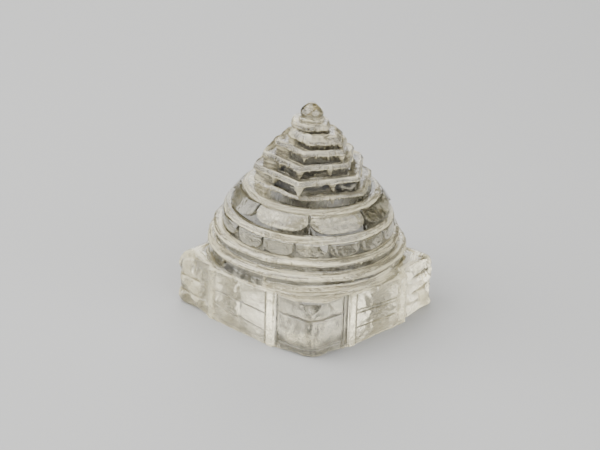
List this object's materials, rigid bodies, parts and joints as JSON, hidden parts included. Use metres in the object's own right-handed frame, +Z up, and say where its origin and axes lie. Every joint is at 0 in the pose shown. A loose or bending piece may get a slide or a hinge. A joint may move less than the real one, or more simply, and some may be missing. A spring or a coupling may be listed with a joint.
{
  "type": "shri yantra",
  "caption": "Carved clear rock-crystal meru shri yantra: square stepped base with four gates, round girdles, two petal rings, six-cornered tiers and a ball at the top.",
  "frame": {"origin": "middle of the flat underside, on the upright axis", "axes": "+Z up along the axis, towards the drop at the top; +X and +Y through the middles of two neighbouring gates"},
  "size_m": [0.041, 0.041, 0.0442],
  "materials": {
    "rock_crystal": "clear rock crystal, tumbled and hand polished, with frosted grooves"
  },
  "bodies": {
    "root": {"enclosure_lower_line": "rock_crystal", "enclosure_middle_line": "rock_crystal", "enclosure_upper_line": "rock_crystal", "lower_girdle": "rock_crystal", "upper_girdle": "rock_crystal", "sixteen_petal_lotus": "rock_crystal", "eight_petal_lotus": "rock_crystal", "fourteen_point_tier": "rock_crystal", "outer_ten_point_tier": "rock_crystal", "inner_ten_point_tier": "rock_crystal", "eight_point_tier": "rock_crystal", "inner_triangle_tier": "rock_crystal", "drop_seat": "rock_crystal", "drop": "rock_crystal"}
  },
  "joints": []
}
